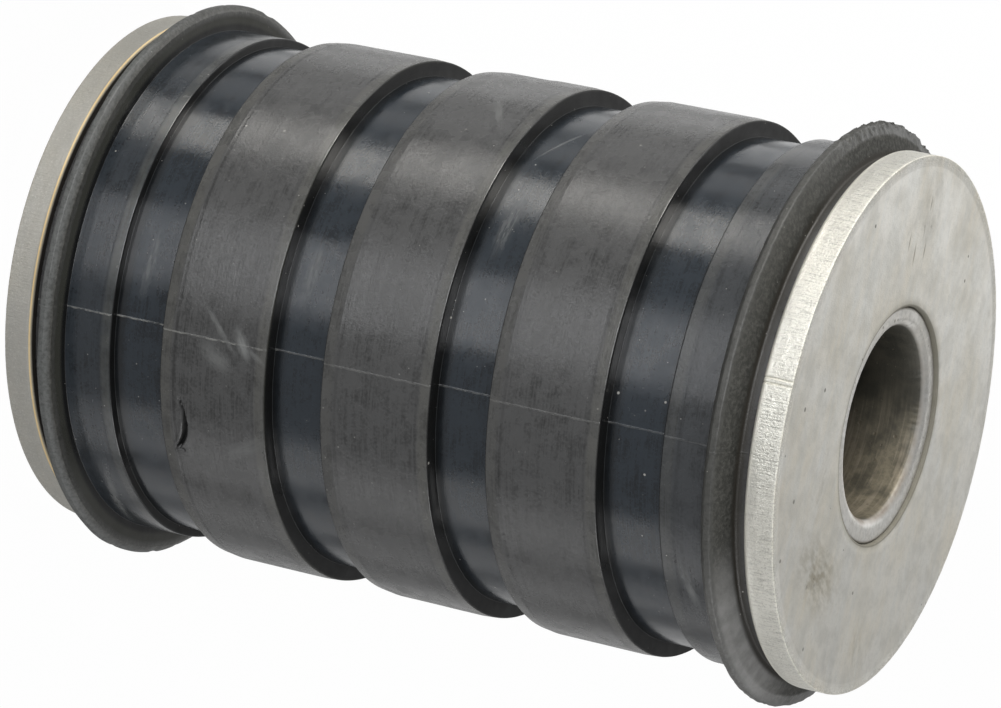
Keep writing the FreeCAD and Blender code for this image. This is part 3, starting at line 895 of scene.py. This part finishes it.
# The lower rim is darker from angle 15 to 60.
lower_rim_darkening = b.times(rim, b.rest(upper), b.spread(place["Angle"], 15.0, 60.0, 0.0, 0.5))
colour = b.over(colour, LOWER_RIM_DARKER_TONE, lower_rim_darkening)
gold_line = b.times(rim, b.rest(upper), b.spread(depth, PLATE - 0.45, PLATE - 0.33))
colour = b.over(colour, GOLDEN_OIL, gold_line, 0.85)
# Painted shade: a thin black ring on each plate's inner face, beside the rim, where the rubber lip overhangs
# it.
shade_under_lip = b.times(b.rest(face), b.rest(rim), b.spread(depth, PLATE - 0.3, PLATE - 0.1))
colour = b.over(colour, PAINTED_SHADE_UNDER_LIP, shade_under_lip)

roughness = b.spread(bare["Cloud"], 0.3, 0.7, 0.42, 0.52)
roughness = b.less(roughness, b.times(rim, b.maths("MULTIPLY_ADD", upper, 0.30, -0.16)))
roughness = b.plus(roughness, b.times(rough_rim, b.spread(facets, 0.4, 0.7, 0.1, 0.0)))
roughness = b.plus(roughness, b.times(b.most(stains, pits, b.mask("outer_corner")), 0.25), clamp=True)
metal = b.rest(b.most(b.times(b.most(stains, pits, hole_dirt), 0.6), hole_corner, shade_under_lip))
height = b.times(b.plus(bare["Fine"], bare["Ripple"]), 0.35)
height = b.less(height, pits)
height = b.plus(height, b.times(rough_rim, b.plus(b.times(scores, 1.6), b.times(facets, 2.2))))
height = b.plus(height, b.times(rim, scores, 0.5))
normal = b.relief(height, GRAIN_DEPTH)
b.surface(b.shader("BsdfPrincipled", Base_Color=colour, Metallic=metal, Roughness=roughness, Normal=normal))

# %% [markdown]
# ## The steel of the tube
# The ring that shows is the tube's cut end, a shade greyer than the plate, with dirt where it meets the hole.
# The bore is brown-black from oil and old rust, with lines round it from drawing. A patch low down, on the
# side that the lamps reach into, is painted lighter as painted light, and the drawing lines show lighter
# there.

# %% The tube material
CUT_END, OLD_OIL, THIN_OIL = (0.60, 0.595, 0.59), (0.052, 0.051, 0.042), (0.078, 0.072, 0.055)
PAINTED_LIT_BORE, LIT_BORE_LINES = (0.23, 0.20, 0.14), (0.29, 0.25, 0.19)
MOUTH_RUST, RING_DIRT, GREY_PATCH = (0.12, 0.075, 0.038), (0.12, 0.10, 0.07), (0.40, 0.39, 0.36)
DRAWN_DEPTH, TUBE_ROUGHNESS = 0.07, 0.5
tube_finish, b = new_finish("drawn_tube_finish")
place = b.group(place_group)
here = place["Position"]
bare = b.group(steel_group, Position=here, Grain=4.0)
colour = b.over(bare["Colour"], CUT_END, 0.45)
bore = b.mask("bore")
rings = b.group(hoop_group, Position=here, Fineness=2.2, Run=0.1)["Lines"]
oil = b.over(OLD_OIL, THIN_OIL, b.spread(bare["Patch"], 0.3, 0.75))
# Painted light: the bore's wall low down, on the side the lamps reach into, is painted lighter, and its
# drawing lines show lighter there.
lit_bore = b.times(b.spread(place["Angle"], -215.0, -145.0), b.spread(place["Angle"], -90.0, -20.0, 1.0, 0.0))
lit_bore = b.most(lit_bore, b.spread(place["Angle"], 145.0, 215.0))
lit_bore = b.times(lit_bore, b.spread(bare["Patch"], 0.3, 0.6, 0.35, 1.0))
oil = b.over(oil, PAINTED_LIT_BORE, lit_bore, b.spread(bare["Ripple"], 0.3, 0.7, 0.5, 0.9))
oil = b.over(oil, LIT_BORE_LINES, lit_bore, b.spread(rings, 0.46, 0.66, 0.0, 0.7))
colour = b.over(colour, oil, bore)
mouth = b.spread(place["Radius"], TUBE_BORE + 0.15, TUBE_BORE + 0.9, 1.0, 0.0)
mouth = b.times(mouth, b.rest(bore))
colour = b.over(colour, MOUTH_RUST, mouth, b.spread(bare["Patch"], 0.3, 0.6, 0.4, 0.9))
ring_dirt = b.spread(place["Radius"], TUBE_OUTER - 0.5, TUBE_OUTER - 0.15)
ring_dirt = b.times(ring_dirt, b.spread(bare["Patch"], 0.3, 0.6, 0.5, 1.0))
colour = b.over(colour, RING_DIRT, ring_dirt, 0.9)
pits = specks(b, here, 1.1, 0.2, 0.5)
colour = b.over(colour, RING_DIRT, pits, 0.6)
colour = b.over(colour, GREY_PATCH, b.rest(bore), b.spread(bare["Ripple"], 0.4, 0.65, 0.0, 0.3))
roughness = b.plus(TUBE_ROUGHNESS, b.spread(bare["Patch"], 0.3, 0.7, -0.05, 0.08), clamp=True)
metal = b.rest(b.most(b.times(b.most(ring_dirt, mouth), 0.8), b.times(bore, 0.6)))
height = b.plus(b.times(bare["Fine"], 0.5), b.times(rings, b.times(bore, 0.6)))
height = b.less(height, pits)
normal = b.relief(height, DRAWN_DEPTH)
b.surface(b.shader("BsdfPrincipled", Base_Color=colour, Metallic=metal, Roughness=roughness, Normal=normal))

# %% [markdown]
# ## Fitting the pieces to the frame
# Each piece stands for one of the plain solids, which is hidden, and moves with the same body.

# %% Dress the solids
for piece, node, slot, finish in (
    (rubber, "rubber_body", "rubber", rubber_finish),
    (lower_plate, "lower_end_washer", "steel_plate", plate_finish),
    (upper_plate, "upper_end_washer", "steel_plate", plate_finish),
    (tube, "inner_tube", "steel_tube", tube_finish),
):
    piece.data.materials.append(finish)
    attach(piece, "root")
    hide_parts(node)

# %% [markdown]
# ## The floor and the backdrop
# The photograph has a pure white background. Here the floor and the world look white to the camera, while
# the light they give stays at a plain level. The floor is a pale polished sheet: it keeps a soft shadow, and
# it mirrors the lamps into the sides of the bush, as a sheet of acrylic does in a photographer's studio.

# %% Floor and world
FLOOR_SIZE = 6.0
floor_mesh = bpy.data.meshes.new("studio_floor")
half = FLOOR_SIZE / 2
corners = [(-half, -half, 0), (half, -half, 0), (half, half, 0), (-half, half, 0)]
floor_mesh.from_pydata(corners, [], [(0, 1, 2, 3)])
floor = in_scene("studio_floor", floor_mesh)
FLOOR_GAP = 0.02
floor.location.z = -FLOOR_GAP * MM

floor_finish, b = new_finish("pale_acrylic")
ACRYLIC, POLISH, MIRROR, WHITE = (0.42, 0.42, 0.42), 0.03, 0.3, (1, 1, 1)
sheet = b.shader("BsdfPrincipled", Base_Color=ACRYLIC, Metallic=MIRROR, Roughness=POLISH)
glow = b.shader("Emission", Color=WHITE)
path = b.put("LightPath").outputs
CAMERA_WHITE, GLOSSY_WHITE = 0.985, 0.06
share = b.most(b.times(path["Is Camera Ray"], CAMERA_WHITE), b.times(path["Is Glossy Ray"], GLOSSY_WHITE),
               b.times(path["Is Transmission Ray"], CAMERA_WHITE))
b.surface(b.put("MixShader", share, sheet, glow).outputs[0])
floor_mesh.materials.append(floor_finish)

world = bpy.data.worlds.new("white_studio")
bpy.context.scene.world = world
world.use_nodes = True
world.node_tree.nodes.clear()
b = Bench(world.node_tree)
path = b.put("LightPath").outputs
ROOM_LIGHT, GLOSSY_ROOM = 0.37, 0.38
level = b.most(path["Is Camera Ray"], path["Is Transmission Ray"],
               b.times(path["Is Glossy Ray"], GLOSSY_ROOM), ROOM_LIGHT)
b.put("OutputWorld", b.shader("Background", Color=WHITE, Strength=level))
print("floor and world set")

# %% [markdown]
# ## The lamps
# Eight soft boxes stand round the bush about a metre away. A cylinder that stands upright mirrors the lamp
# at twice the angle of the place one looks at, so each lamp draws one bright band along the rubber, and the
# polished floor repeats it. The two strongest stand beside the camera and on the side that is up in the
# camera's picture. The weaker ones behind and below fill the bands between, and the gap that is left beside
# the camera's far side darkens the black bands down the ribs, whose walls are also painted near-black as
# shade.

# %% Place the lamps
BUSH_MIDDLE = (0.0, 0.0, LENGTH / 2 * MM)


def softbox(name, angle, distance, height, width, tall, watts, colour=(1, 1, 1)):
    """An area lamp at an angle and a height, turned to the middle of the bush."""
    lamp = bpy.data.lights.new(name, "AREA")
    lamp.shape, lamp.size, lamp.size_y = "RECTANGLE", width, tall
    lamp.energy, lamp.color = watts, colour
    holder = in_scene(name, lamp)
    turn = math.radians(angle)
    holder.location = (-distance * math.sin(turn), -distance * math.cos(turn), height)
    look = holder.location.copy()
    look.x, look.y, look.z = (c - p for c, p in zip(BUSH_MIDDLE, holder.location))
    holder.rotation_euler = look.to_track_quat("-Z", "Y").to_euler()
    holder.visible_camera = False


# name, angle, distance, height, width, tallness, watts, colour
softbox("box_by_camera", 12, 1.0, 0.42, 0.60, 0.34, 6.2, (0.97, 0.98, 1.0))
softbox("strip_above", 70, 1.0, 0.42, 0.34, 0.34, 6.4, (1.0, 0.975, 0.925))
softbox("strip_between", 101, 1.1, 0.46, 0.30, 0.36, 0.9)
softbox("box_behind", 132, 1.1, 0.48, 0.50, 0.40, 2.0)
softbox("box_far_side", 164, 1.1, 0.48, 0.50, 0.40, 1.3)
softbox("box_behind_below", -152, 1.1, 0.48, 0.60, 0.40, 0.8)
softbox("strip_below", -112, 1.1, 0.48, 0.40, 0.40, 1.0)
softbox("box_below", -78, 1.1, 0.46, 0.50, 0.36, 2.4)

# %% [markdown]
# ## The camera
# The camera was worked out from the ellipses of the plates and the ribs in the photograph, which fix both
# its direction and its distance. It is rolled by about a right angle, because the bush lies on its side in
# the photograph and stands on its end here.

# %% Set the camera
from mathutils import Matrix

PLACE = (0.0, -0.569627, 0.324392)
RIGHT = (-0.20803864, 0.42005357, 0.88333172)
UP = (-0.97811839, -0.08742053, -0.18879104)
LOOK = (0.00208102, 0.90327883, -0.42904897)
camera_data = bpy.data.cameras.new("photograph_view")
camera_data.sensor_fit, camera_data.sensor_width, camera_data.lens = "HORIZONTAL", 36.0, 176.597
camera_data.clip_start, camera_data.clip_end = 0.01, 20.0
camera = in_scene("photograph_view", camera_data)
rows = [(RIGHT[i], UP[i], -LOOK[i], PLACE[i]) for i in range(3)] + [(0, 0, 0, 1)]
camera.matrix_world = Matrix(rows)
bpy.context.scene.camera = camera
bpy.context.scene.view_settings.view_transform = "Standard"
print("camera distance in mm:", round(math.dist(PLACE, BUSH_MIDDLE) / MM, 1))

# %% [markdown]
# ## The size
# The dressed part has to stay inside the box of the solids.
